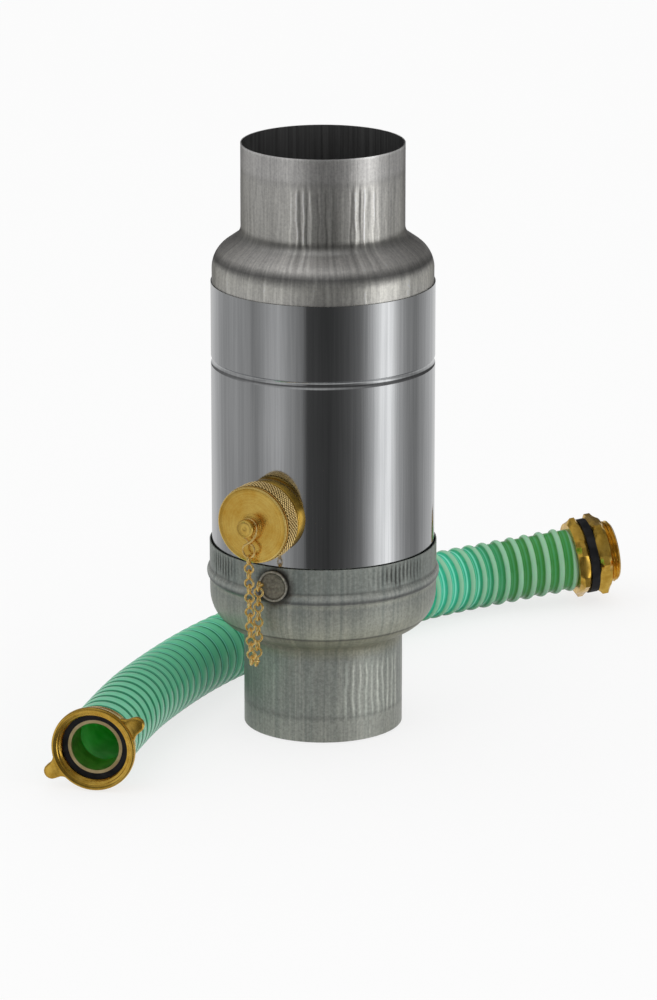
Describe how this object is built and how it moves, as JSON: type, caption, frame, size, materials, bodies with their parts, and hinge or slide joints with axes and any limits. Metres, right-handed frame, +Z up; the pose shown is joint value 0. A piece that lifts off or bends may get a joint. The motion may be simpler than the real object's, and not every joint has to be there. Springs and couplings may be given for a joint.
{
  "type": "rainwater diverter",
  "caption": "Zinc downpipe rainwater diverter with an inner catch trough, a capped brass side outlet on a chain, and a loose green hose with brass fittings.",
  "frame": {"origin": "centre of the lower spigot's mouth", "axes": "+Z up along the downpipe, -Y towards the viewer, outlet at the front left"},
  "size_m": [0.3698, 0.4314, 0.3713],
  "materials": {
    "satin_zinc": "satin rolled zinc sheet, fine upright grain",
    "spun_zinc": "matt grey formed zinc sheet with draw marks",
    "brass": "turned brass, satin",
    "brass_wire": "bright brass wire",
    "black_rubber": "matt black rubber",
    "solder": "dull grey tinned disc with solder stains",
    "green_pvc": "clear green PVC with a pale helix"
  },
  "bodies": {
    "root": {"upper_funnel": "spun_zinc", "housing": "satin_zinc", "catch_ring": "spun_zinc", "lower_funnel": "spun_zinc", "outlet_nipple": "brass", "chain_anchor": "solder", "chain_link_01": "brass_wire", "chain_link_02": "brass_wire", "chain_link_03": "brass_wire", "chain_link_04": "brass_wire", "chain_link_05": "brass_wire", "chain_link_06": "brass_wire", "chain_link_07": "brass_wire", "chain_link_08": "brass_wire", "chain_link_09": "brass_wire", "chain_link_10": "brass_wire", "chain_link_11": "brass_wire", "chain_link_12": "brass_wire", "chain_link_13": "brass_wire", "hose": "green_pvc", "union_tail": "brass", "union_seal": "black_rubber", "tank_connector": "brass"},
    "cap_carrier": {"cap_hook": "brass_wire"},
    "cap": {"outlet_cap": "brass", "cap_gasket": "black_rubber"},
    "union_nut": {"union_nut": "brass"},
    "tank_washer": {"tank_seal": "black_rubber"},
    "tank_nut": {"tank_nut": "brass"}
  },
  "joints": [
    {"name": "cap_travel", "type": "slide", "parent": "root", "child": "cap_carrier", "axis": [-0.4772, -0.8788, 0], "range_m": [0, 0.01], "deforming": ["chain_link_01", "chain_link_02", "chain_link_03", "chain_link_04", "chain_link_05", "chain_link_06", "chain_link_07", "chain_link_08"]},
    {"name": "cap_screw", "type": "hinge", "parent": "cap_carrier", "child": "cap", "pos_m": [0, 0, 0.15], "axis": [-0.4772, -0.8788, 0], "range_deg": [0, 1530]},
    {"name": "union_nut_spin", "type": "hinge", "parent": "root", "child": "union_nut", "pos_m": [-0.1356, -0.1238, 0.0263], "axis": [-0.2258, -0.9742, 0], "continuous": true},
    {"name": "tank_nut_travel", "type": "slide", "parent": "root", "child": "tank_washer", "axis": [0.9642, 0.2359, 0.121], "range_m": [0, 0.0163]},
    {"name": "tank_nut_screw", "type": "hinge", "parent": "tank_washer", "child": "tank_nut", "pos_m": [0.167, 0.253, 0.0284], "axis": [0.9642, 0.2359, 0.121], "range_deg": [0, 2520]}
  ],
  "couplings": [
    {"joint": "cap_travel", "follows": "cap_screw", "m_per_rad": 0.00036749},
    {"joint": "tank_nut_travel", "follows": "tank_nut_screw", "m_per_rad": 0.00036749}
  ]
}
